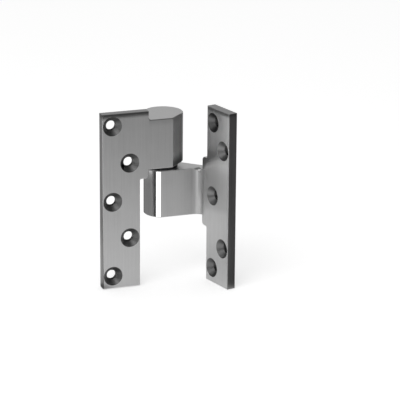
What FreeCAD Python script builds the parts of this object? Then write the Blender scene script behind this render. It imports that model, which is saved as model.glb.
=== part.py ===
import FreeCAD, Part
import os
from math import acos, asin, cos, degrees, radians, sin, sqrt, tan

# Offset pivot hinge for a heavy door, in millimetres, +Z up.
# Two cast stainless leaves are screwed to the frame and to the door.
# The jamb leaf's arm carries the lower knuckle, and the door leaf's knuckle turns above it.
# The origin is the centre of the jamb leaf's back face. +X points into the frame,
# and +Y points from the jamb leaf towards the pivot.

# Leaves
LEAF_HEIGHT = 127.0
JAMB_LONGER = 0.7           # of the jamb leaf, beyond the door leaf at each end
LEAF_WIDTH = 27.5
LEAF_THICKNESS = 6.5
EDGE_ROUND = 0.5            # on the edges of the visible faces
RIM_CHAMFER = 0.5           # on the edges of the knuckles' ends
INNER_CORNER = 1.0          # where a bump leaves the straight edge of its leaf

# Pivot axis
PIVOT_OFFSET = 19.05        # from the door leaf's face
CLOSED_GAP = 1.6            # between the two faces when the door is shut
JAMB_REACH = 25.1           # from the jamb leaf's edge to the axis
DOOR_REACH = 23.5           # from the door leaf's edge to the axis
OPEN_ANGLE = 103.0          # how far the door leaf stands open here

# Screw holes, countersunk for flat-head screws
HOLE_DIAMETER = 6.8
HEAD_DIAMETER = 13.8
HEAD_ANGLE = 82.0
HOLE_EDGE = 7.45            # from each long edge to its own row of holes
JAMB_END = 10.7             # from the jamb leaf's ends to its end holes
JAMB_STEP = 17.7            # from its end holes to the holes in the outer row, along the leaf
DOOR_END = 8.8              # from the door leaf's ends to its first holes
DOOR_HOLES = 5

# Jamb leaf's arm and lower knuckle
KNUCKLE_RADIUS = 14.0
ARM_HEIGHT = 34.4
ARM_LEAN = 13.0             # of the arm's inner face, away from square to the leaf
ARM_FLAT = 1.35             # how far the arm's inner face cuts into the knuckle's round
ARM_OUTER_ANGLE = 32.0      # of the normal of the arm's outer face, from +X
ARM_FILLET = 8.0            # between the inner face and the leaf's face
RELIEF_PLAY = 0.4           # round the door leaf's bump, where it dips into the arm's top
JAMB_BUMP = 5.9
JAMB_BUMP_TOP = 26.0        # of the bump's upper end, above the middle of the leaf
JAMB_BUMP_BOTTOM = 24.7     # of its lower end, below the middle
BUMP_CORNER = 2.8

# Door leaf's knuckle
DOOR_BUMP = 6.45
DOOR_BUMP_DROP = 6.4        # of the bump's lower end, below the knuckle
KNUCKLE_STEP = 6.35         # of the knuckle's top, below the top of the leaf
STEP_FILLET = 2.0
FACET_ANGLE = 45.0          # of the facet between the flat front and the round back

# Pin and its set screw
PIN_DIAMETER = 12.7
PIN_FIT = 0.02              # radial
PIN_END_CHAMFER = 1.0
PIN_RECESS = 0.8            # of the pin's lower end, above the knuckle's underside
PIN_TOP_SPACE = 1.5
SCREW_DIAMETER = 6.0
SCREW_FIT = 0.02
SCREW_RECESS = 0.8
SCREW_POINT_DEPTH = 0.6
SCREW_KEY = 3.0             # across the flats of its socket
SCREW_KEY_DEPTH = 2.8
BORE_BREAK = 0.5            # of the pin bore's lower mouth

# Thrust bearing between the knuckles
WASHER_THICKNESS = 1.0
WASHER_RADIUS = 10.4
WASHER_BORE_PLAY = 0.15
ROLLER_DIAMETER = 2.0
ROLLER_LENGTH = 2.4
ROLLER_PITCH_RADIUS = 8.55
ROLLER_COUNT = 11
ROLLER_PLAY = 0.02
CAGE_THICKNESS = 1.4
CAGE_RIM = 0.55             # beyond each end of a roller's pocket
POCKET_PLAY = 0.04

# Bronze bush in the door leaf's knuckle
BUSH_WALL = 2.0
BUSH_PLAY = 0.02            # radial, on the pin
BUSH_FIT = 0.01             # radial, in the knuckle
BUSH_RECESS = 0.6           # of the bush, above the knuckle's underside
PIN_ABOVE_BUSH = 8.3
KNUCKLE_ROOF = 6.5          # solid metal above the pin's hole
PIN_HOLE_PLAY = 0.6

X = FreeCAD.Vector(1, 0, 0)
Y = FreeCAD.Vector(0, 1, 0)
Z = FreeCAD.Vector(0, 0, 1)
TOUCH = 1e-5                # two places closer than this are the same

# Places that follow from the sizes above
JAMB_FACE = -LEAF_THICKNESS
JAMB_EDGE = LEAF_WIDTH / 2
PIVOT_X = JAMB_FACE - PIVOT_OFFSET - CLOSED_GAP
PIVOT_Y = JAMB_EDGE + JAMB_REACH
DOOR_FACE = PIVOT_X + PIVOT_OFFSET
DOOR_EDGE = PIVOT_Y - DOOR_REACH
LEAF_TOP = LEAF_HEIGHT / 2
JAMB_TOP = LEAF_TOP + JAMB_LONGER
ARM_TOP = ARM_HEIGHT / 2
ARM_INNER = KNUCKLE_RADIUS - ARM_FLAT
KNUCKLE_GAP = 2 * WASHER_THICKNESS + ROLLER_DIAMETER + 2 * ROLLER_PLAY
DOOR_KNUCKLE_BOTTOM = ARM_TOP + KNUCKLE_GAP
DOOR_KNUCKLE_TOP = LEAF_TOP - KNUCKLE_STEP
DOOR_BUMP_EDGE = DOOR_EDGE + DOOR_BUMP
DOOR_BUMP_BOTTOM = DOOR_KNUCKLE_BOTTOM - DOOR_BUMP_DROP
PIN_RADIUS = PIN_DIAMETER / 2
PIN_BOTTOM = -ARM_TOP + PIN_RECESS
PIN_TOP = DOOR_KNUCKLE_TOP - KNUCKLE_ROOF - PIN_TOP_SPACE
BUSH_OUTER = PIN_RADIUS + BUSH_PLAY + BUSH_WALL
BUSH_BOTTOM = DOOR_KNUCKLE_BOTTOM + BUSH_RECESS
BUSH_TOP = PIN_TOP - PIN_ABOVE_BUSH


def at(x, y, z=0.0):
    return FreeCAD.Vector(x, y, z)


def polar(angle, distance=1.0):
    """A vector in plan, at an angle from +X in degrees."""
    return at(distance * cos(radians(angle)), distance * sin(radians(angle)))


def rounded_wire(corners):
    """A closed wire through (point, radius) corners, each rounded to its own radius."""
    starts = []
    ends = []
    arcs = []
    count = len(corners)
    for i, (point, radius) in enumerate(corners):
        back = (corners[i - 1][0] - point).normalize()
        ahead = (corners[(i + 1) % count][0] - point).normalize()
        half = back.getAngle(ahead) / 2
        reach = radius / tan(half)
        start = point + back * reach
        end = point + ahead * reach
        if radius:
            centre = point + (back + ahead).normalize() * (radius / sin(half))
            middle = centre + (point - centre).normalize() * radius
            arcs.append(Part.Arc(start, middle, end).toShape())
        starts.append(start)
        ends.append(end)
    lines = [Part.makeLine(ends[i - 1], starts[i]) for i in range(count)]
    return Part.Wire(Part.sortEdges(lines + arcs)[0])


def prism(corners, direction):
    """A solid swept along a direction from a closed outline with rounded corners."""
    return Part.Face(rounded_wire(corners)).extrude(direction)


def sharp(points):
    return [(point, 0.0) for point in points]


def rod(radius, bottom, top, centre=at(PIVOT_X, PIVOT_Y)):
    return Part.makeCylinder(radius, top - bottom, centre + Z * bottom, Z)


def ring(outer, inner, bottom, top):
    return rod(outer, bottom, top).cut(rod(inner, bottom, top))


def countersunk_hole(face_point, inward):
    """The space of one screw: a straight hole and a cone that opens to the face."""
    head = HEAD_DIAMETER / 2
    hole = HOLE_DIAMETER / 2
    depth = (head - hole) / tan(radians(HEAD_ANGLE / 2))
    cone = Part.makeCone(head, hole, depth, face_point, inward)
    straight = Part.makeCylinder(hole, LEAF_THICKNESS, face_point, inward)
    return cone.fuse(straight)


def on_plane(edge, normal, level):
    """Whether an edge lies in the plane at this level along the normal."""
    middle = edge.valueAt((edge.FirstParameter + edge.LastParameter) / 2)
    points = [middle] + [vertex.Point for vertex in edge.Vertexes]
    return all(abs(point.dot(normal) - level) < TOUCH for point in points)


def jamb_arm():
    """The leaning arm and the lower knuckle as one casting."""
    pivot = at(PIVOT_X, PIVOT_Y)
    along = polar(-ARM_LEAN)
    inward = polar(-ARM_LEAN - 90)

    # The inner face is a flat on the knuckle, ahead of the axis. A fillet takes it into the leaf's face.
    flat_middle = pivot + inward * ARM_INNER
    flat_start = flat_middle - along * sqrt(KNUCKLE_RADIUS ** 2 - ARM_INNER ** 2)
    corner = flat_middle + along * ((JAMB_FACE - flat_middle.x) / along.x)
    reach = ARM_FILLET * tan(radians(90 - ARM_LEAN) / 2)
    fillet_start = corner - along * reach
    fillet_centre = fillet_start + inward * ARM_FILLET
    fillet_middle = fillet_centre + (corner - fillet_centre).normalize() * ARM_FILLET

    # The outer face is tangent to the knuckle and ends at the plane of the leaf's back.
    tangent_point = pivot + polar(ARM_OUTER_ANGLE, KNUCKLE_RADIUS)
    outer_along = polar(ARM_OUTER_ANGLE - 90)
    outer_end = tangent_point - outer_along * (tangent_point.x / outer_along.x)

    flat_angle = 270 - ARM_LEAN - degrees(acos(ARM_INNER / KNUCKLE_RADIUS))
    far_point = pivot + polar((ARM_OUTER_ANGLE + flat_angle) / 2, KNUCKLE_RADIUS)
    foot = corner - Y * reach
    corners = [foot, at(0, foot.y), outer_end, tangent_point]
    outline = [Part.makeLine(start, end) for start, end in zip(corners, corners[1:])]
    outline.append(Part.Arc(tangent_point, far_point, flat_start).toShape())
    outline.append(Part.makeLine(flat_start, fillet_start))
    outline.append(Part.Arc(fillet_start, fillet_middle, foot).toShape())

    arm = Part.Face(Part.Wire(outline)).extrude(Z * ARM_HEIGHT)
    arm.translate(Z * -ARM_TOP)
    ends = [edge for edge in arm.Edges if on_plane(edge, Z, ARM_TOP) or on_plane(edge, Z, -ARM_TOP)]
    return arm.makeChamfer(RIM_CHAMFER, ends).cut(bump_relief())


def bump_relief():
    """Room for the lower corner of the door leaf's bump, where it stands with the door shut."""
    face = DOOR_FACE + RELIEF_PLAY
    edge = DOOR_BUMP_EDGE + RELIEF_PLAY
    bottom = DOOR_BUMP_BOTTOM - RELIEF_PLAY
    corners = [(at(face, DOOR_EDGE, bottom), 0), (at(face, edge, bottom), BUMP_CORNER + RELIEF_PLAY),
               (at(face, edge, DOOR_KNUCKLE_TOP), 0), (at(face, DOOR_EDGE, DOOR_KNUCKLE_TOP), 0)]
    return prism(corners, -X * (LEAF_THICKNESS + 2 * RELIEF_PLAY))


def jamb_plate():
    """The flat leaf with its bump, drawn on the back face and swept to the visible face."""
    outer = -LEAF_WIDTH / 2
    bump = JAMB_EDGE + JAMB_BUMP
    corners = [(at(0, outer, -JAMB_TOP), 0), (at(0, JAMB_EDGE, -JAMB_TOP), 0),
               (at(0, JAMB_EDGE, -JAMB_BUMP_BOTTOM), INNER_CORNER),
               (at(0, bump, -JAMB_BUMP_BOTTOM), BUMP_CORNER), (at(0, bump, JAMB_BUMP_TOP), BUMP_CORNER),
               (at(0, JAMB_EDGE, JAMB_BUMP_TOP), INNER_CORNER),
               (at(0, JAMB_EDGE, JAMB_TOP), 0), (at(0, outer, JAMB_TOP), 0)]
    plate = prism(corners, -X * LEAF_THICKNESS)
    return plate.makeFillet(EDGE_ROUND, [edge for edge in plate.Edges if on_plane(edge, X, JAMB_FACE)])


def jamb_leaf():
    leaf = jamb_plate().fuse(jamb_arm()).removeSplitter()
    inner_row = JAMB_EDGE - HOLE_EDGE
    outer_row = HOLE_EDGE - LEAF_WIDTH / 2
    end = JAMB_TOP - JAMB_END
    places = [(inner_row, -end), (inner_row, 0), (inner_row, end),
              (outer_row, JAMB_STEP - end), (outer_row, end - JAMB_STEP)]
    for y, z in places:
        leaf = leaf.cut(countersunk_hole(at(JAMB_FACE, y, z), X))
    bore = PIN_RADIUS + PIN_FIT
    leaf = leaf.cut(rod(bore, -ARM_TOP, ARM_TOP))
    leaf = leaf.cut(Part.makeCone(bore + BORE_BREAK, bore, BORE_BREAK,
                                  at(PIVOT_X, PIVOT_Y, -ARM_TOP), Z))
    return leaf.cut(Part.makeCylinder(SCREW_DIAMETER / 2 + SCREW_FIT, KNUCKLE_RADIUS,
                                      at(PIVOT_X, PIVOT_Y), Y))


def facet_corner():
    """Where the facet meets the plane of the door leaf's face, with the door shut."""
    normal = polar(90 - FACET_ANGLE)
    return at(DOOR_FACE, PIVOT_Y + (KNUCKLE_RADIUS - PIVOT_OFFSET * normal.x) / normal.y)


def door_knuckle():
    """The upper knuckle: flat in front, a facet, then round, drawn with the door shut."""
    pivot = at(PIVOT_X, PIVOT_Y)
    back = at(DOOR_FACE - LEAF_THICKNESS, DOOR_BUMP_EDGE)
    facet_point = pivot + polar(90 - FACET_ANGLE, KNUCKLE_RADIUS)

    # The back of the neck is the tangent from the bump's back corner to the knuckle.
    to_pivot = pivot - back
    sideways = degrees(asin(KNUCKLE_RADIUS / to_pivot.Length))
    heading = FreeCAD.Vector(to_pivot)
    heading = FreeCAD.Rotation(Z, sideways).multVec(heading).normalize()
    neck_point = back + heading * sqrt(to_pivot.Length ** 2 - KNUCKLE_RADIUS ** 2)

    bottom = Z * DOOR_KNUCKLE_BOTTOM
    height = DOOR_KNUCKLE_TOP - DOOR_KNUCKLE_BOTTOM
    corners = [pivot, facet_point, facet_corner(), at(DOOR_FACE, DOOR_EDGE), at(back.x, DOOR_EDGE),
               back, neck_point]
    neck = prism(sharp([point + bottom for point in corners]), Z * height)
    return neck.fuse(rod(KNUCKLE_RADIUS, DOOR_KNUCKLE_BOTTOM, DOOR_KNUCKLE_TOP))


def door_plate():
    """The door leaf's plate and bump, with the fillet that meets the knuckle's top."""
    back = DOOR_FACE - LEAF_THICKNESS
    outer = DOOR_EDGE - LEAF_WIDTH
    bump = DOOR_BUMP_EDGE
    corners = [(at(back, outer, -LEAF_TOP), 0), (at(back, DOOR_EDGE, -LEAF_TOP), 0),
               (at(back, DOOR_EDGE, DOOR_BUMP_BOTTOM), INNER_CORNER),
               (at(back, bump, DOOR_BUMP_BOTTOM), BUMP_CORNER),
               (at(back, bump, DOOR_KNUCKLE_BOTTOM), 0),
               (at(back, bump + 2 * STEP_FILLET, DOOR_KNUCKLE_BOTTOM), 0),
               (at(back, bump + 2 * STEP_FILLET, DOOR_KNUCKLE_TOP), 0),
               (at(back, bump, DOOR_KNUCKLE_TOP), STEP_FILLET),
               (at(back, bump, LEAF_TOP), 0), (at(back, outer, LEAF_TOP), 0)]
    return prism(corners, X * LEAF_THICKNESS)


def door_knuckle_rims(leaf):
    """The edges of the knuckle's two ends, apart from those of its flat front."""
    rims = []
    for edge in leaf.Edges:
        middle = edge.CenterOfMass
        behind = middle.x < DOOR_FACE - LEAF_THICKNESS - TOUCH
        beyond = middle.y > facet_corner().y + TOUCH
        at_end = on_plane(edge, Z, DOOR_KNUCKLE_TOP) or on_plane(edge, Z, DOOR_KNUCKLE_BOTTOM)
        if at_end and (behind or beyond):
            rims.append(edge)
    return rims


def door_leaf():
    leaf = door_plate().fuse(door_knuckle()).removeSplitter()
    leaf = leaf.makeChamfer(RIM_CHAMFER, door_knuckle_rims(leaf))
    front = [edge for edge in leaf.Edges if on_plane(edge, X, DOOR_FACE)
             and edge.CenterOfMass.y < facet_corner().y - TOUCH]
    leaf = leaf.makeFillet(EDGE_ROUND, front)
    pitch = (LEAF_HEIGHT - 2 * DOOR_END) / (DOOR_HOLES - 1)
    for i in range(DOOR_HOLES):
        row = HOLE_EDGE if i % 2 else LEAF_WIDTH - HOLE_EDGE
        place = at(DOOR_FACE, DOOR_EDGE - row, LEAF_TOP - DOOR_END - i * pitch)
        leaf = leaf.cut(countersunk_hole(place, -X))
    leaf = leaf.cut(rod(BUSH_OUTER + BUSH_FIT, DOOR_KNUCKLE_BOTTOM, BUSH_TOP))
    leaf = leaf.cut(rod(PIN_RADIUS + PIN_HOLE_PLAY, DOOR_KNUCKLE_BOTTOM,
                        DOOR_KNUCKLE_TOP - KNUCKLE_ROOF))
    return swung_open(leaf)


def swung_open(shape):
    """The door leaf's pieces are drawn shut, then turned about the pivot to where they stand."""
    shape.rotate(at(PIVOT_X, PIVOT_Y), Z, -OPEN_ANGLE)
    return shape


def pivot_pin():
    pin = rod(PIN_RADIUS, PIN_BOTTOM, PIN_TOP)
    pin = pin.makeChamfer(PIN_END_CHAMFER, [edge for edge in pin.Edges if len(edge.Vertexes) == 1
                                            and edge.Curve.TypeId == "Part::GeomCircle"])
    return pin.cut(screw_point(SCREW_FIT))


def screw_point(play):
    """The cone at the set screw's tip, or with play the spot in the pin that it bites into."""
    mouth = SCREW_POINT_DEPTH + play
    return Part.makeCone(SCREW_DIAMETER / 4 + mouth, SCREW_DIAMETER / 4, mouth,
                         at(PIVOT_X, PIVOT_Y + PIN_RADIUS), -Y)


def pin_set_screw():
    tip = PIVOT_Y + PIN_RADIUS
    end = PIVOT_Y + KNUCKLE_RADIUS - SCREW_RECESS
    screw = Part.makeCylinder(SCREW_DIAMETER / 2, end - tip, at(PIVOT_X, tip), Y)
    screw = screw.fuse(screw_point(0)).removeSplitter()
    key = [at(PIVOT_X, end) + FreeCAD.Rotation(Y, 60 * i).multVec(Z) * (SCREW_KEY / sqrt(3))
           for i in range(6)]
    return screw.cut(prism(sharp(key), -Y * SCREW_KEY_DEPTH))


def thrust_washer(bottom):
    return ring(WASHER_RADIUS, PIN_RADIUS + WASHER_BORE_PLAY, bottom, bottom + WASHER_THICKNESS)


def around_pivot(shape, count, step):
    """Copies of a shape at even steps about the pivot."""
    copies = []
    for i in range(count):
        copy = shape.copy()
        copy.rotate(at(PIVOT_X, PIVOT_Y), Z, i * step)
        copies.append(copy)
    return copies


def thrust_rollers():
    middle = ARM_TOP + KNUCKLE_GAP / 2
    start = at(PIVOT_X + ROLLER_PITCH_RADIUS - ROLLER_LENGTH / 2, PIVOT_Y, middle)
    roller = Part.makeCylinder(ROLLER_DIAMETER / 2, ROLLER_LENGTH, start, X)
    return Part.Compound(around_pivot(roller, ROLLER_COUNT, 360 / ROLLER_COUNT))


def thrust_cage():
    middle = ARM_TOP + KNUCKLE_GAP / 2
    reach = ROLLER_LENGTH / 2 + POCKET_PLAY
    cage = ring(ROLLER_PITCH_RADIUS + reach + CAGE_RIM, ROLLER_PITCH_RADIUS - reach - CAGE_RIM,
                middle - CAGE_THICKNESS / 2, middle + CAGE_THICKNESS / 2)
    width = ROLLER_DIAMETER + 2 * POCKET_PLAY
    corner = at(PIVOT_X + ROLLER_PITCH_RADIUS - reach, PIVOT_Y - width / 2,
                middle - CAGE_THICKNESS / 2)
    pocket = Part.makeBox(2 * reach, width, CAGE_THICKNESS, corner)
    for copy in around_pivot(pocket, ROLLER_COUNT, 360 / ROLLER_COUNT):
        cage = cage.cut(copy)
    return cage


def bearing_bush():
    return ring(BUSH_OUTER, PIN_RADIUS + BUSH_PLAY, BUSH_BOTTOM, BUSH_TOP)


def main():
    pieces = {
        "jamb_leaf": jamb_leaf(),
        "door_leaf": door_leaf(),
        "pivot_pin": pivot_pin(),
        "pin_set_screw": pin_set_screw(),
        "lower_thrust_washer": thrust_washer(ARM_TOP),
        "upper_thrust_washer": thrust_washer(DOOR_KNUCKLE_BOTTOM - WASHER_THICKNESS),
        "thrust_cage": thrust_cage(),
        "thrust_rollers": thrust_rollers(),
        "bearing_bush": bearing_bush(),
    }
    os.makedirs("parts", exist_ok=True)
    for name, shape in pieces.items():
        shape.exportStep("parts/" + name + ".step")
        print(name, len(shape.Solids), "solids,", round(shape.Volume, 1), "mm3,",
              "valid" if shape.isValid() else "NOT VALID")


main()
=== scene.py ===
# %% [markdown]
# # An offset pivot hinge in satin stainless steel
# The hinge is already a finished solid model: two cast leaves, a pin and a small bearing. Every shape that
# can be seen is turned, cast or milled metal, so Blender has no shape to add here, and a copy of one would only
# be less exact. What it adds is the finish: brushed faces, a polished barrel, turned countersinks, and a
# studio that such metal can reflect. The first step loads the solid model as a fixed frame.

# %% Load the frame
import bpy
from math import cos, radians, sin
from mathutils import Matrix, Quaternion, Vector


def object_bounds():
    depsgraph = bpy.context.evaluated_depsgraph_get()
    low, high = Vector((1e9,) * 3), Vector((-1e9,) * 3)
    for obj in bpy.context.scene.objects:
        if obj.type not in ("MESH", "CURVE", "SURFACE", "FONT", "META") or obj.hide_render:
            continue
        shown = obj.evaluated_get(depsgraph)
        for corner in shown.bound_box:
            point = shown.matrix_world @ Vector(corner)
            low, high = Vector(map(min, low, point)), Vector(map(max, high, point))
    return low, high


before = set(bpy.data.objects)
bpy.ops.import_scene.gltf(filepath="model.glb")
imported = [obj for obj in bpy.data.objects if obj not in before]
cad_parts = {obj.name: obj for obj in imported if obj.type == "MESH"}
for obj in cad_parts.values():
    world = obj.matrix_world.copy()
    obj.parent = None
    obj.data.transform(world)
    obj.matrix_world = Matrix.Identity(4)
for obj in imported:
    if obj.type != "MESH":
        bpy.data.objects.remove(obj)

solid_low, solid_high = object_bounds()
print("solid model, low and high corner in metres:", tuple(solid_low), tuple(solid_high))

# %% [markdown]
# ## The camera
# The photograph is nearly free of perspective, so it was taken with a long lens from far away. The angles, the
# distance and the lens below come from lining the solid model's own edges up with the edges in the picture.
# A camera looks along its own -Z, so it is turned until its +Z points back at the photographer.

# %% Camera
PHOTO_AZIMUTH = radians(-33.084)
PHOTO_ELEVATION = radians(17.616)
PHOTO_ROLL = radians(0.467)
PHOTO_DISTANCE = 1.5
PHOTO_CENTRE = Vector((-0.01157, 0.01438, -0.00439))
PHOTO_LENS = 190.85
FARTHEST_SEEN = 20


def direction(azimuth, elevation):
    """The way from the object to something that is seen at these angles."""
    flat = cos(elevation)
    return Vector((sin(azimuth) * flat, -cos(azimuth) * flat, sin(elevation)))


def look_from(thing, centre, way, distance, roll=0.0):
    """Stands a camera or lamp off from a point, looking back at it."""
    thing.location = centre + way * distance
    thing.rotation_mode = "QUATERNION"
    thing.rotation_quaternion = (-way).to_track_quat("-Z", "Y") @ Quaternion((0, 0, 1), roll)


scene = bpy.context.scene
camera = bpy.data.objects.new("camera", bpy.data.cameras.new("camera"))
scene.collection.objects.link(camera)
camera.data.lens = PHOTO_LENS
camera.data.clip_end = FARTHEST_SEEN
look_from(camera, PHOTO_CENTRE, direction(PHOTO_AZIMUTH, PHOTO_ELEVATION), PHOTO_DISTANCE, PHOTO_ROLL)
scene.camera = camera
scene.view_settings.view_transform = "Standard"
print("camera at", tuple(camera.location))

# %% [markdown]
# ## Shader sums that read like sums
# A finish is mostly arithmetic on positions: how far a point lies from a screw hole, or which way its surface
# faces. Built by hand that is dozens of small Math nodes. A thin wrapper round a node's output lets Python's
# own operators add those nodes, so that a line of the script says what the finish does.

# %% Signals
class Signal:
    """One output of a node. Sums and products with it add the Math nodes that they need."""

    def __init__(self, graph, socket):
        self.graph = graph
        self.socket = socket

    def math(self, operation, *values):
        inputs = dict(enumerate((self,) + values))
        return self.graph.node("ShaderNodeMath", {"operation": operation}, inputs)

    def __add__(self, other):
        return self.math("ADD", other)

    def __sub__(self, other):
        return self.math("SUBTRACT", other)

    def __rsub__(self, other):
        return self * -1 + other

    def __mul__(self, other):
        return self.math("MULTIPLY", other)

    def __truediv__(self, other):
        return self.math("DIVIDE", other)

    __radd__ = __add__
    __rmul__ = __mul__

    def __abs__(self):
        return self.math("ABSOLUTE")

    def step(self, start, end):
        """Rises smoothly from 0 at start to 1 at end."""
        settings = {"interpolation_type": "SMOOTHSTEP"}
        if start < end:
            return self.graph.node("ShaderNodeMapRange", settings,
                                   {"Value": self, "From Min": start, "From Max": end})
        return 1 - self.step(end, start)

    def between(self, start, end, soft):
        """1 inside a range and 0 outside it, with soft edges."""
        return self.step(start - soft, start + soft) * self.step(end + soft, end - soft)


# %% Graphs
class Graph:
    """A node tree that is being filled, for a material or for the world."""

    def __init__(self, owner):
        owner.use_nodes = True
        self.tree = owner.node_tree

    def node(self, kind, settings, inputs, output=0):
        """Adds a node: its settings first, then the values or links of its sockets."""
        made = self.tree.nodes.new(kind)
        for name, value in settings.items():
            setattr(made, name, value)
        for name, value in inputs.items():
            self.feed(made.inputs[name], value)
        return Signal(self, made.outputs[output])

    def feed(self, socket, value):
        if isinstance(value, Signal):
            self.tree.links.new(value.socket, socket)
        else:
            socket.default_value = value

    def place(self, kind):
        """Where a point lies, or which way it faces."""
        return self.node("ShaderNodeTexCoord", {}, {}, kind)

    def split(self, vector):
        """The X, Y and Z of a vector."""
        return [self.node("ShaderNodeSeparateXYZ", {}, {"Vector": vector}, axis) for axis in range(3)]

    def join(self, x, y, z):
        return self.node("ShaderNodeCombineXYZ", {}, {"X": x, "Y": y, "Z": z})

    def scale(self, vector, scales):
        return self.node("ShaderNodeVectorMath", {"operation": "MULTIPLY"}, {0: vector, 1: scales})

    def turn(self, vector, angle, centre):
        """A vector turned about an upright axis."""
        return self.node("ShaderNodeVectorRotate", {"rotation_type": "Z_AXIS"},
                         {"Vector": vector, "Center": centre, "Angle": radians(angle)})

    def noise(self, vector, detail=2.0, roughness=0.5):
        """Soft random values about 0.5, one grain to each unit of the vector."""
        return self.node("ShaderNodeTexNoise", {}, {"Vector": vector, "Scale": 1.0, "Detail": detail,
                                                    "Roughness": roughness})

    def blend(self, first, second, share):
        """A colour between two others."""
        return self.node("ShaderNodeMix", {"data_type": "RGBA"}, {0: share, 6: first, 7: second}, 2)

    def light_path(self, ray):
        """1 for rays of one kind and 0 for the rest."""
        return self.node("ShaderNodeLightPath", {}, {}, ray)


# %% [markdown]
# ## The studio
# Brushed steel has hardly any colour of its own. What the eye reads as light and dark metal is the room that it
# reflects. Seen from a little above, an upright face mirrors the table in front of it, so the table does most of
# the work: it is brightest close to the hinge and falls off with distance. Cards are painted on it as well, for
# mirrored rays alone. Each one covers a range of bearings from the pivot, and so is seen by the faces that look
# that way: a white card makes the sharp highlight on the barrel, dark cards draw the narrow edges and the facet,
# and three strips shade the jamb leaf. To the camera the table is plain and white, with a soft shadow.

# %% Table
TABLE_SIZE = 8.0
TABLE_WHITE = (0.8, 0.8, 0.8, 1.0)
PIVOT = (-27.15, 38.85)
LEVEL_NEAR = 0.66
LEVEL_FAR = 0.385
LEVEL_DISTANCE = 0.42
FADE_START, FADE_END = 0.45, 1.1
FADE_LEVEL = 0.05
FOOT_REACH = 0.065
FOOT_BLUR = 0.05
GLOW = 0.45
CARD_BLUR = 0.01


class Card:
    """A painted sector of the table, seen from the pivot: bearings in degrees, radii in metres."""

    def __init__(self, start, end, level, inner, outer=TABLE_SIZE, soft=2.5):
        self.start, self.end, self.level, self.soft = start, end, level, soft
        self.inner, self.outer = inner, outer

    def lay(self, bearing, distance, seen):
        """The table's level with this card on it."""
        share = bearing.between(self.start, self.end, self.soft)
        share = share * distance.between(self.inner, self.outer, CARD_BLUR)
        return seen + share * (self.level - seen)


JAMB_STRIPS = [Card(-163, -97, 0.82, 0.06, 0.13, 4),
               Card(-163, -97, 0.24, 0.145, 0.27, 4),
               Card(-152, -97, 0.95, 0.28, 0.60, 4)]
HIGHLIGHT = [Card(-71, -45, 1.9, 0.10), Card(-97, -72, 0.02, 0.05)]
FACET_AND_EDGES = [Card(20, 84, 0.05, 0.06), Card(84, 112, 0.11, 0.02, soft=6)]
BEHIND = [Card(112, 160, 0.22, 0.02, soft=6), Card(-180, -163, 0.14, 0.02, soft=4)]
CARDS = JAMB_STRIPS + HIGHLIGHT + FACET_AND_EDGES + BEHIND


def paint_table(material):
    """A white table that keeps a shadow, and that metal sees with its cards."""
    graph = Graph(material)
    x, y, z = graph.split(graph.place("Object"))
    from_x = x - PIVOT[0] / 1000
    from_y = y - PIVOT[1] / 1000
    distance = (from_x * from_x + from_y * from_y).math("SQRT")
    bearing = from_x.math("ARCTAN2", from_y * -1).math("DEGREES")
    seen = distance.step(0.0, LEVEL_DISTANCE) * (LEVEL_FAR - LEVEL_NEAR) + LEVEL_NEAR
    seen = seen + distance.step(FADE_START, FADE_END) * (FADE_LEVEL - seen)
    for card in CARDS:
        seen = card.lay(bearing, distance, seen)
    matt = graph.node("ShaderNodeBsdfDiffuse", {}, {"Color": TABLE_WHITE})
    glow = graph.node("ShaderNodeEmission", {}, {"Strength": GLOW})
    shown = graph.node("ShaderNodeAddShader", {}, {0: matt, 1: glow})
    plain = graph.node("ShaderNodeMixShader", {}, {0: graph.light_path("Is Camera Ray"), 1: matt, 2: shown})
    far = graph.node("ShaderNodeEmission", {}, {"Strength": seen})
    near = distance.step(FOOT_REACH, FOOT_REACH - FOOT_BLUR)
    mirrored = graph.node("ShaderNodeMixShader", {}, {0: near, 1: far, 2: matt})
    surface = graph.node("ShaderNodeMixShader", {}, {0: graph.light_path("Is Glossy Ray"), 1: plain,
                                                    2: mirrored})
    graph.feed(graph.tree.nodes["Material Output"].inputs["Surface"], surface)


bpy.ops.object.select_all(action="DESELECT")
bpy.ops.mesh.primitive_plane_add(size=TABLE_SIZE, location=(0, 0, solid_low.z))
table = bpy.context.object
table.name = "table"
table.data.materials.append(bpy.data.materials.new("table_white"))
paint_table(table.data.materials[0])
print("table at height", round(table.location.z, 4), "with", len(CARDS), "cards")

# %% [markdown]
# ## Room and lamp
# Above the table the room is pale behind the hinge, so that level surfaces look light, and dark in front, where
# the photographer stands. That darkness is what draws a thin black line along each rounded top edge. One large
# soft lamp at the upper left lights the table and puts a glint in the lower right of each countersink.

# %% Room and lamp
ROOM_LEVEL = 0.60
ROOM_BACK = 0.60
ROOM_FRONT = 0.04
ROOM_SIDES = (95, 130)
ROOM_GAP = (-172, -118)
GAP_BLUR = 8


def paint_room(world):
    """Even light for the table, and a room that is pale behind and dark in front for mirrored rays."""
    graph = Graph(world)
    x, y, z = graph.split(graph.place("Generated"))
    bearing = x.math("ARCTAN2", y * -1).math("DEGREES")
    behind = abs(bearing).step(*ROOM_SIDES) - bearing.between(*ROOM_GAP, GAP_BLUR)
    mirrored = behind * (ROOM_BACK - ROOM_FRONT) + ROOM_FRONT
    level = ROOM_LEVEL + graph.light_path("Is Glossy Ray") * (mirrored - ROOM_LEVEL)
    level = level + graph.light_path("Is Camera Ray") * (1.0 - level)
    background = graph.tree.nodes["Background"]
    graph.feed(background.inputs["Color"], (1.0, 1.0, 1.0, 1.0))
    graph.feed(background.inputs["Strength"], level)


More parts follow.
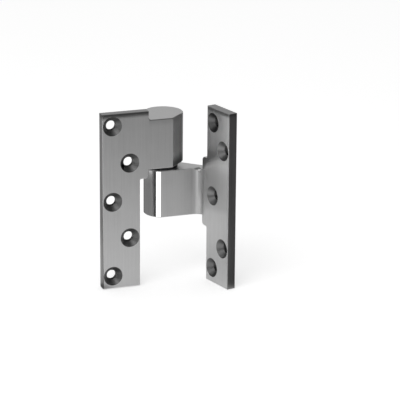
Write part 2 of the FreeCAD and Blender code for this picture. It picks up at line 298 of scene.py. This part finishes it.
def add_lamp(name, azimuth, elevation, distance, size, watts):
    """A square soft lamp that looks at the hinge."""
    lamp = bpy.data.objects.new(name, bpy.data.lights.new(name, "AREA"))
    scene.collection.objects.link(lamp)
    lamp.data.size = size
    lamp.data.energy = watts
    look_from(lamp, Vector((0, 0, 0)), direction(radians(azimuth), radians(elevation)), distance)
    print("lamp", name, "at", tuple(round(value, 3) for value in lamp.location))


scene.world = bpy.data.worlds.new("studio")
paint_room(scene.world)
add_lamp("key_lamp", azimuth=-65, elevation=50, distance=1.3, size=0.8, watts=4.5)

# %% [markdown]
# ## Places on the leaves
# A mask is 1 on one part of the metal and 0 on the rest. It can be read from where a point lies and which way it
# faces, so the finish needs no picture and no marks on the mesh. The masks work in millimetres, in the place
# where a leaf is drawn with the hinge shut: there the leaves' faces look along X and the screw holes lie in the
# plane of Y and Z. The door leaf stands open in the model, so its points are turned back about the pivot first.

# %% Sizes of the leaves
KNUCKLE_RADIUS = 14.0
KNUCKLE_TOP = 57.15
HOLE_RADIUS = 3.4
HEAD_RADIUS = 6.9
JAMB_TOP = 64.2
DOOR_TOP = 63.5
DOOR_OPEN = 103.0
JAMB_HOLES = [(6.3, -53.5), (6.3, 0.0), (6.3, 53.5), (-6.3, -35.8), (-6.3, 35.8)]
DOOR_HOLES = [(-4.7, -54.7), (7.9, -27.35), (-4.7, 0.0), (7.9, 27.35), (-4.7, 54.7)]
MILLIMETRES = (1000.0, 1000.0, 1000.0)
print(len(JAMB_HOLES) + len(DOOR_HOLES), "countersunk holes")

# %% Masks of what is turned, cut or polished
MASK_BLUR = 0.15
TILTED = (0.95, 0.85)


class Leaf(Graph):
    """The node tree of a leaf: its places and facings with the hinge shut, and its machined parts as masks."""

    def __init__(self, material, holes, top, angle):
        super().__init__(material)
        self.spot = self.scale(self.place("Object"), MILLIMETRES)
        facing = self.place("Normal")
        if angle:
            self.spot = self.turn(self.spot, angle, (PIVOT[0], PIVOT[1], 0.0))
            facing = self.turn(facing, angle, (0.0, 0.0, 0.0))
        self.top = top
        self.x, self.y, self.z = self.split(self.spot)
        self.face_x, self.face_y, self.face_z = self.split(facing)
        self.ends = abs(self.face_z).step(0.8, 0.95)
        self.hole = self.reach_to_holes(holes)
        tilted = abs(self.face_x).step(*TILTED)
        self.hole_wall = self.hole.step(HOLE_RADIUS + MASK_BLUR, HOLE_RADIUS) * tilted
        self.countersink = self.hole.step(HEAD_RADIUS + MASK_BLUR, HEAD_RADIUS) * tilted
        self.barrel = self.find_barrel()
        self.fillet = self.find_fillet()

    def reach_to_holes(self, holes):
        """How far a point lies from the axis of the nearest screw hole."""
        nearest = None
        for hole_y, hole_z in holes:
            across = self.y - hole_y
            along = self.z - hole_z
            reach = (across * across + along * along).math("SQRT")
            nearest = nearest.math("MINIMUM", reach) if nearest else reach
        return nearest

    def find_barrel(self):
        """The polished round of the knuckle, which faces straight away from the pivot's axis."""
        from_x = self.x - PIVOT[0]
        from_y = self.y - PIVOT[1]
        reach = (from_x * from_x + from_y * from_y).math("SQRT")
        outward = (self.face_x * from_x + self.face_y * from_y) / reach
        on_round = reach.between(KNUCKLE_RADIUS - 0.12, KNUCKLE_RADIUS + 0.05, 0.03)
        return on_round * abs(self.face_z).step(0.5, 0.3) * outward.step(0.95, 0.98)

    def find_fillet(self):
        """The hollow between the arm and the jamb leaf's face."""
        turned = (self.face_x * -1).between(0.64, 0.88, 0.08) * (self.face_y * -1).step(0.3, 0.45)
        return turned * (1 - self.barrel) * (self.x * -1).step(6.6, 6.8)


# %% [markdown]
# ## Lighter and darker steel
# The grey is darkened by painted shade and painted dark reflections: on the leaves' ends, top edges and narrow
# edges, in the hole walls, in the hollow and on the faces round the arm, and at the foot of the facet; and it is
# lightened by painted light high on the jamb leaf. The lathe leaves each countersink darker than the face, and
# painted shade darkens its slopes more. Each painted shade below is a mask with a strength. The finish takes all
# of them off the plain grey. Ranges of faces are parts of a unit normal, and the others are millimetres.

# %% Painted shade on edges, ends and rims
# Strengths of painted shade on the ends, the top edges, the narrow edges and the door knuckle's top rim.
END_PAINTED_SHADE = 0.6
STEP_PAINTED_SHADE = 0.25
RIM_PAINTED_SHADE = 0.4
EDGE_PAINTED_SHADE = 0.35
LOW_EDGE_PAINTED_SHADE = 0.3
KNUCKLE_SHADE_LINE = 0.25
KNUCKLE_SHADE_FADE = 0.16


def edge_painted_shade(leaf, inner_painted_shade):
    """Painted shade on the leaf's ends, its top edge, its narrow edges, and the top of the door knuckle's flat
    face.
    """
    sides = 1 - leaf.ends
    off_round = 1 - leaf.barrel
    off_sink = 1 - leaf.countersink
    # Painted shade on the leaf's top end, the other ends, the top edge and the lip below it, standing in for
    # shade and the dark room they mirror.
    leaf_ends = leaf.ends * abs(leaf.z).step(leaf.top - 0.8, leaf.top - 0.3)
    top_edge = abs(leaf.face_z).step(0.1, 0.6) * sides * leaf.z.step(leaf.top - 0.8, leaf.top - 0.5)
    top_edge = top_edge * off_sink
    lip = leaf.face_x.step(-0.1, 0.2) * sides * leaf.z.step(leaf.top - 1.7, leaf.top - 0.7)
    # Painted shade on the narrow outer edges, in place of their rounds' bright reflection, and more towards the
    # bottom by low_door.
    outer_edge = (leaf.face_y * -1).step(0.2, 0.4) * leaf.y.step(-11.0, -11.6)
    outer_edge = outer_edge * abs(leaf.face_z).step(0.2, 0.1) * off_round * off_sink
    low_door = (leaf.x * -1).step(7.0, 8.0) * leaf.z.step(0.0, -30.0)
    # Painted shade on the door leaf's narrow edge that faces the knuckle, so the barrel mirrors it as a dark
    # band.
    inner_edge = leaf.face_y.step(0.8, 0.95) * leaf.y.step(9.0, 10.0) * off_round * sides
    # Painted shade: a dark line under the door knuckle's top rim that fades out downwards.
    knuckle_face = leaf.face_x.step(0.3, 0.6) * leaf.y.step(21.6, 22.4) * sides
    line = knuckle_face * leaf.z.step(KNUCKLE_TOP - 0.8, KNUCKLE_TOP - 0.4)
    fade = knuckle_face * leaf.z.step(KNUCKLE_TOP - 6.0, KNUCKLE_TOP)
    return [(leaf_ends, END_PAINTED_SHADE), (leaf.ends - leaf_ends, STEP_PAINTED_SHADE), (top_edge, RIM_PAINTED_SHADE),
            (lip, RIM_PAINTED_SHADE), (outer_edge, EDGE_PAINTED_SHADE + low_door * LOW_EDGE_PAINTED_SHADE), (inner_edge, inner_painted_shade),
            (line, KNUCKLE_SHADE_LINE), (fade, KNUCKLE_SHADE_FADE)]


# %% Painted shade and light on countersinks, arm and faces
# Countersinks: a darker base for the turned steel, and painted shade on their upper and lower slopes, on the
# jamb leaf and in its top hole.
SINK_TURNED_AND_SHADE = 0.38
SINK_SLANT = 0.35
JAMB_SINK_SLANT = 0.15
JAMB_SINK = 0.2
TOP_SINK = 0.16
# Painted shade inside the screw holes.
WALL_PAINTED_SHADE = 0.10
# Painted shade on the fillet, which dims its highlight, less at its lower end, and on the arm's inner face
# towards the fillet.
FILLET_PAINTED_SHADE = 0.5
LOW_FILLET = 0.25
ARM_PAINTED_SHADE = 0.14
# Painted shade at the foot of the facet.
FACET_PAINTED_SHADE = 0.75
# Painted light high on the jamb leaf's face, and painted shade round the arm's root, in place of reflections.
UPPER_PAINTED_LIGHT = 0.2
ROOT_CENTRE = (10.0, 10.0)
ROOT_REACH = (34.0, 30.0)
ROOT_PAINTED_SHADE = 0.41
ROOT_BAND_SHADE = 0.135
BUMP_SHARE = 0.4


def sink_tone_and_shade(leaf):
    """How dark a countersink is: darker for the turned steel, with painted shade more above and below, more on
    the jamb leaf, and once more in the jamb leaf's top hole.
    """
    slanted = abs(leaf.face_z).step(0.1, 0.6)
    jamb_side = (leaf.face_x * -1).step(0.0, 0.3)
    slant = slanted * (SINK_SLANT - jamb_side * (SINK_SLANT - JAMB_SINK_SLANT))
    return SINK_TURNED_AND_SHADE + slant + jamb_side * (JAMB_SINK + leaf.z.step(40.0, 50.0) * TOP_SINK)


def root_painted_shade(leaf):
    """Painted shade round the arm's root, where the jamb leaf mirrors the arm: an oval that fades out, inside a
    band across the leaf.
    """
    from_y = (leaf.y - ROOT_CENTRE[0]) / ROOT_REACH[0]
    from_z = (leaf.z - ROOT_CENTRE[1]) / ROOT_REACH[1]
    oval = (from_y * from_y + from_z * from_z).math("SQRT").step(1.0, 0.1)
    band = (leaf.z + leaf.y * 0.2).step(-12.9, -6.9) * (leaf.z + leaf.y * 0.45).step(29.0, 23.0)
    off_bump = 1 - leaf.y.step(12.0, 18.0) * BUMP_SHARE
    return (oval * ROOT_PAINTED_SHADE + ROOT_BAND_SHADE) * off_bump * band


def face_painted_shade(leaf):
    """Painted shade on the countersinks, hole walls, fillet, arm's inner face, jamb leaf's face and the facet's
    foot, and painted light high on the jamb leaf.
    """
    jamb_face = (leaf.face_x * -1).step(0.9, 0.99)
    # Painted shade: the arm's inner face darkens towards the fillet.
    arm = (leaf.face_y * -1).step(0.86, 0.92) * (1 - leaf.barrel) * leaf.y.step(15.0, 17.0)
    arm = arm * leaf.x.step(-26.0, -12.0)
    # Painted shade at the foot of the facet, where it mirrors the arm's top.
    under_facet = leaf.face_y.step(0.5, 0.65) * leaf.z.between(18.0, 27.0, 4.0)
    return [(leaf.countersink, sink_tone_and_shade(leaf)), (leaf.hole_wall, WALL_PAINTED_SHADE),
            (leaf.fillet, FILLET_PAINTED_SHADE - leaf.z.step(4.0, -10.0) * LOW_FILLET), (arm, ARM_PAINTED_SHADE),
            (jamb_face, root_painted_shade(leaf)), (jamb_face * leaf.z.step(18.0, 30.0), -UPPER_PAINTED_LIGHT),
            (under_facet, FACET_PAINTED_SHADE)]


# %% [markdown]
# ## Satin steel
# The belt runs along the leaf and leaves fine upright scratches. Noise that is stretched far along Z looks like
# them, and on the leaf's ends it is stretched along Y. The same noise moves the grey, the roughness and a very
# shallow bump together, as a real scratch does. In a countersink, rings about the hole take the scratches'
# place. The round of a knuckle is polished instead, so its roughness is low and its bump almost gone.

# %% Satin steel
DARK_STEEL = (0.67, 0.67, 0.67, 1.0)
LIGHT_STEEL = (0.89, 0.89, 0.89, 1.0)
SCRATCH_WIDTH = 0.22
SCRATCH_LENGTH = 30.0
STREAK_WIDTH = 1.6
STREAK_LENGTH = 90.0
RING_WIDTH = 0.18
CLOUDS = (0.07, 0.07, 0.07)
SATIN = 0.37
POLISHED = 0.075
BUMP_STRENGTH = 0.35
BUMP_DEPTH = 0.00003
ROLL_WIDTH = 4.5
ROLL_SLOPE = 0.6


def scratch_marks(leaf):
    """The belt's scratches on the faces and ends, and the lathe's rings in the countersinks."""
    across_x = leaf.x / SCRATCH_WIDTH
    upright = leaf.noise(leaf.join(across_x, leaf.y / SCRATCH_WIDTH, leaf.z / SCRATCH_LENGTH), 3.0, 0.6)
    level = leaf.noise(leaf.join(across_x, leaf.y / SCRATCH_LENGTH, leaf.z / SCRATCH_WIDTH), 3.0, 0.6)
    rings = leaf.noise(leaf.join(leaf.hole / RING_WIDTH, 0.0, 0.0), 2.0, 0.6)
    scratches = upright + leaf.ends * (level - upright)
    return scratches + leaf.countersink * (rings - scratches)


def relief(leaf, scratches):
    """The scratches as a bump, and the face rolled off a little towards its top edge, as polishing does."""
    height = scratches * (1 - leaf.barrel * 0.85)
    bumps = leaf.node("ShaderNodeBump", {}, {"Strength": BUMP_STRENGTH, "Distance": BUMP_DEPTH,
                                             "Height": height})
    rolled = (leaf.z - (leaf.top - ROLL_WIDTH)).math("MAXIMUM", 0.0) / ROLL_WIDTH
    rolled = rolled * rolled * rolled * (-0.001 * ROLL_WIDTH * ROLL_SLOPE / 3)
    return leaf.node("ShaderNodeBump", {}, {"Strength": 1.0, "Distance": 1.0, "Height": rolled,
                                            "Normal": bumps})


def leaf_finish(name, holes, top, angle, inner_painted_shade):
    """Brushed steel with a polished round and turned countersinks, with painted shade on rims, edges and
    hollows.
    """
    material = bpy.data.materials.new(name)
    leaf = Leaf(material, holes, top, angle)
    scratches = scratch_marks(leaf)
    streaks = leaf.join(leaf.x / STREAK_WIDTH, leaf.y / STREAK_WIDTH, leaf.z / STREAK_LENGTH)
    broad = leaf.noise(streaks, 1.0, 0.5)
    handled = leaf.noise(leaf.scale(leaf.spot, CLOUDS), 3.0, 0.55)
    tone = 0.5 + (scratches - 0.5) * 0.9 + (broad - 0.5) * 0.3 + (handled - 0.5) * 0.5
    # Every mask of painted shade or painted light scales the grey by its strength.
    painted_shade_and_light = 1
    for mask, strength in edge_painted_shade(leaf, inner_painted_shade) + face_painted_shade(leaf):
        painted_shade_and_light = painted_shade_and_light - mask * strength
    colour = leaf.scale(leaf.blend(DARK_STEEL, LIGHT_STEEL, tone), leaf.join(painted_shade_and_light, painted_shade_and_light, painted_shade_and_light))
    roughness = SATIN + (scratches - 0.5) * 0.16 + (handled - 0.5) * 0.08
    roughness = roughness + leaf.countersink * 0.12 + leaf.fillet * 0.1 + leaf.hole_wall * 0.2
    roughness = roughness + leaf.barrel * (POLISHED + (handled - 0.5) * 0.06 - roughness)
    shader = leaf.tree.nodes["Principled BSDF"]
    shader.inputs["Metallic"].default_value = 1.0
    leaf.feed(shader.inputs["Base Color"], colour)
    leaf.feed(shader.inputs["Roughness"], roughness)
    leaf.feed(shader.inputs["Normal"], relief(leaf, scratches))
    return material


# %% Dress the leaves
# Painted shade on the door leaf's narrow edge that faces the knuckle.
DOOR_INNER_PAINTED_SHADE = 0.7


def wear(node, material):
    """Puts a finish on a node in place of its plain one."""
    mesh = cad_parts[node].data
    mesh.materials.clear()
    mesh.materials.append(material)
    print(node, "wears", material.name, "of", len(material.node_tree.nodes), "nodes")


wear("jamb_leaf", leaf_finish("jamb_satin", JAMB_HOLES, JAMB_TOP, 0.0, 0.0))
wear("door_leaf", leaf_finish("door_satin", DOOR_HOLES, DOOR_TOP, DOOR_OPEN, DOOR_INNER_PAINTED_SHADE))

# %% [markdown]
# ## The pin and the bearing
# These small pieces show only from below, from behind, or deep in the gap between the knuckles. They are
# turned or ground, so their marks run round the pivot, and each has the colour of its own metal: bright ground
# steel, dark oiled steel for the washers and the cage, oil-filled bronze with open pores for the bush, and
# black oxide on the set screw. One function makes a turned metal from two colours, a roughness and the size of
# its marks.

# %% Turned metals
CLOUD_SIZE = (0.4, 0.4, 0.4)
PORE_SIZE = (4.0, 4.0, 4.0)
PORE_EDGE = (0.42, 0.34)
RING_BUMP = 0.4


def turned_metal(name, dark, light, roughness, mark, pores=0.0):
    """A metal with fine rings about the pivot, and pores if it is sintered."""
    material = bpy.data.materials.new(name)
    graph = Graph(material)
    spot = graph.scale(graph.place("Object"), MILLIMETRES)
    x, y, z = graph.split(spot)
    from_x = x - PIVOT[0]
    from_y = y - PIVOT[1]
    reach = (from_x * from_x + from_y * from_y).math("SQRT")
    rings = graph.noise(graph.join(reach / mark, z / mark, 0.0), 2.0, 0.6)
    cloud = graph.noise(graph.scale(spot, CLOUD_SIZE), 3.0, 0.6)
    grains = graph.noise(graph.scale(spot, PORE_SIZE), 2.0, 0.7)
    pitted = grains.step(*PORE_EDGE) * pores
    tone = 0.5 + (rings - 0.5) * 0.8 + (cloud - 0.5) * 0.6 - pitted
    bumps = graph.node("ShaderNodeBump", {}, {"Strength": RING_BUMP, "Distance": BUMP_DEPTH,
                                              "Height": rings - pitted})
    shader = graph.tree.nodes["Principled BSDF"]
    shader.inputs["Metallic"].default_value = 1.0
    graph.feed(shader.inputs["Base Color"], graph.blend(dark, light, tone))
    graph.feed(shader.inputs["Roughness"], roughness + (rings - 0.5) * 0.12 + pitted * 0.2)
    graph.feed(shader.inputs["Normal"], bumps)
    return material


def shade(red, green, blue):
    return (red, green, blue, 1.0)


# %% Dress the pin and the bearing
GROUND = turned_metal("ground_steel", shade(0.52, 0.52, 0.53), shade(0.72, 0.72, 0.73), 0.20, 0.20)
HARDENED = turned_metal("oxide_steel", shade(0.05, 0.05, 0.055), shade(0.16, 0.16, 0.165), 0.30, 0.15)
ROLLED = turned_metal("roller_steel", shade(0.55, 0.55, 0.56), shade(0.72, 0.72, 0.73), 0.14, 0.2)
PRESSED = turned_metal("cage_steel", shade(0.10, 0.10, 0.105), shade(0.22, 0.22, 0.225), 0.32, 0.2)
SINTERED = turned_metal("bush_bronze", shade(0.42, 0.25, 0.12), shade(0.64, 0.42, 0.24), 0.38, 0.25,
                        pores=0.6)
BLACKENED = turned_metal("black_oxide", shade(0.035, 0.035, 0.04), shade(0.10, 0.10, 0.11), 0.36, 0.3)
wear("pivot_pin", GROUND)
wear("lower_thrust_washer", HARDENED)
wear("upper_thrust_washer", HARDENED)
wear("thrust_rollers", ROLLED)
wear("thrust_cage", PRESSED)
wear("bearing_bush", SINTERED)
wear("pin_set_screw", BLACKENED)
